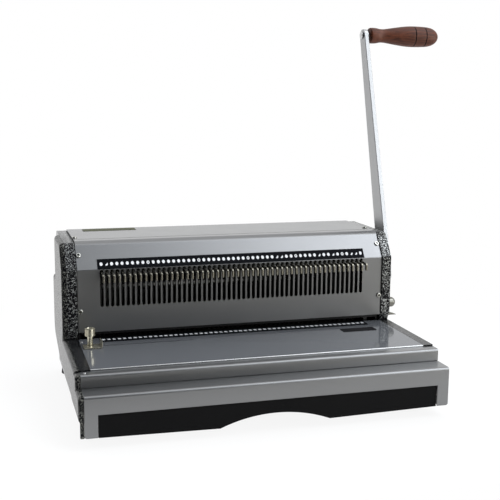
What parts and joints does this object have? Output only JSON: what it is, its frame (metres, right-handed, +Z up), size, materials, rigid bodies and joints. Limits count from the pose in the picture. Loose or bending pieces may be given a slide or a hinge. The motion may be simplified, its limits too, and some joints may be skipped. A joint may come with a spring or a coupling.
{
  "type": "coil binding machine",
  "caption": "Hand lever press that punches a row of round holes along a sheet edge for coil binding, with pull tabs, paper table, edge guide, depth knob and chip drawer.",
  "frame": {"origin": "middle of the underside of the whole machine, lever and grip included, at desk level", "axes": "+X along the punch row towards the lever, +Y from the drawer to the back, +Z up"},
  "size_m": [0.5474, 0.3137, 0.4647],
  "materials": {
    "silver_sheet": "satin silver paint on folded sheet",
    "hammered_paint": "black and silver hammered paint",
    "lever_paint": "satin silver paint on a flat bar",
    "black_plastic": "fine matt black moulding",
    "black_film": "printed black film",
    "bright_steel": "bright zinc and ground steel",
    "dark_steel": "dark oiled steel",
    "tab_brass": "dull yellow zinc plate",
    "bush_brass": "turned bronze",
    "foot_rubber": "soft black rubber",
    "grip_wood": "stained and lacquered hardwood"
  },
  "bodies": {
    "frame": {"foot_front_left": "foot_rubber", "foot_rear_left": "foot_rubber", "foot_front_right": "foot_rubber", "foot_rear_right": "foot_rubber", "base_plate": "dark_steel", "left_side_casing": "hammered_paint", "right_side_casing": "hammered_paint", "left_outer_cover": "hammered_paint", "top_cover": "silver_sheet", "rear_cover": "silver_sheet", "cover_screw_left_low": "bright_steel", "cover_screw_left_high": "bright_steel", "cover_screw_left_top": "bright_steel", "cover_screw_right_low": "bright_steel", "cover_screw_right_high": "bright_steel", "cover_screw_right_top": "bright_steel", "paper_table": "silver_sheet", "front_rail": "silver_sheet", "front_fascia": "silver_sheet", "number_strip": "black_film", "table_dot_strip": "black_film", "left_frame_plate": "dark_steel", "right_frame_plate": "dark_steel", "left_shaft_bush": "bush_brass", "right_shaft_bush": "bush_brass", "die_plate": "bright_steel", "punch_guide_plate": "bright_steel", "left_guide_rod": "bright_steel", "right_guide_rod": "bright_steel", "depth_pointer": "bright_steel", "left_drawer_runner": "dark_steel", "right_drawer_runner": "dark_steel"},
    "lever": {"main_shaft": "bright_steel", "left_pinion": "dark_steel", "right_pinion": "dark_steel", "lever_hub": "dark_steel", "lever_bar": "lever_paint", "lever_bolt": "bright_steel", "grip_stud": "bright_steel"},
    "grip": {"wood_grip": "grip_wood"},
    "ram": {"press_beam": "dark_steel", "left_rack": "bright_steel", "right_rack": "bright_steel", "punch_row": "bright_steel", "pull_tab_comb": "tab_brass"},
    "drawer": {"chip_drawer": "black_plastic"},
    "edge_guide": {"edge_guide_bracket": "tab_brass", "edge_guide_nut": "bright_steel"},
    "guide_screw": {"edge_guide_thumb_screw": "tab_brass"},
    "depth_control": {"depth_knob": "bright_steel"},
    "gauge": {"back_gauge": "bright_steel"},
    "tab_02": {"pull_tab_02": "tab_brass"},
    "tab_36": {"pull_tab_36": "tab_brass"},
    "tab_37": {"pull_tab_37": "tab_brass"},
    "tab_45": {"pull_tab_45": "tab_brass"},
    "tab_48": {"pull_tab_48": "tab_brass"},
    "tab_52": {"pull_tab_52": "tab_brass"},
    "tab_53": {"pull_tab_53": "tab_brass"}
  },
  "joints": [
    {"name": "lever_pivot", "type": "hinge", "parent": "frame", "child": "lever", "pos_m": [0.1613, 0.0481, 0.132], "axis": [1, 0, 0], "range_deg": [0, 90]},
    {"name": "grip_spin", "type": "hinge", "parent": "lever", "child": "grip", "pos_m": [0.2203, 0.1424, 0.45033], "axis": [1, 0, 0], "continuous": true},
    {"name": "ram_slide", "type": "slide", "parent": "frame", "child": "ram", "axis": [0, 0, -1], "range_m": [0, 0.01885]},
    {"name": "drawer_slide", "type": "slide", "parent": "frame", "child": "drawer", "axis": [0, -1, 0], "range_m": [0, 0.15]},
    {"name": "edge_guide_slide", "type": "slide", "parent": "frame", "child": "edge_guide", "axis": [1, 0, 0], "range_m": [0, 0.11]},
    {"name": "guide_screw_turn", "type": "hinge", "parent": "edge_guide", "child": "guide_screw", "pos_m": [-0.24498, -0.0209, 0.085], "axis": [0, 0, 1], "range_deg": [0, 270]},
    {"name": "depth_knob_turn", "type": "hinge", "parent": "frame", "child": "depth_control", "pos_m": [0.1593, 0.0261, 0.0954], "axis": [1, 0, 0], "range_deg": [0, 40]},
    {"name": "back_gauge_slide", "type": "slide", "parent": "frame", "child": "gauge", "axis": [0, 1, 0], "range_m": [0, 0.00335]},
    {"name": "tab_02_pull", "type": "slide", "parent": "ram", "child": "tab_02", "axis": [0, -1, 0], "range_m": [0, 0.006]},
    {"name": "tab_36_pull", "type": "slide", "parent": "ram", "child": "tab_36", "axis": [0, -1, 0], "range_m": [0, 0.006]},
    {"name": "tab_37_pull", "type": "slide", "parent": "ram", "child": "tab_37", "axis": [0, -1, 0], "range_m": [0, 0.006]},
    {"name": "tab_45_pull", "type": "slide", "parent": "ram", "child": "tab_45", "axis": [0, -1, 0], "range_m": [0, 0.006]},
    {"name": "tab_48_pull", "type": "slide", "parent": "ram", "child": "tab_48", "axis": [0, -1, 0], "range_m": [0, 0.006]},
    {"name": "tab_52_pull", "type": "slide", "parent": "ram", "child": "tab_52", "axis": [0, -1, 0], "range_m": [0, 0.006]},
    {"name": "tab_53_pull", "type": "slide", "parent": "ram", "child": "tab_53", "axis": [0, -1, 0], "range_m": [0, 0.006]}
  ],
  "couplings": [
    {"joint": "ram_slide", "follows": "lever_pivot", "m_per_rad": 0.012},
    {"joint": "depth_knob_turn", "follows": "back_gauge_slide", "rad_per_m": 208.33}
  ]
}
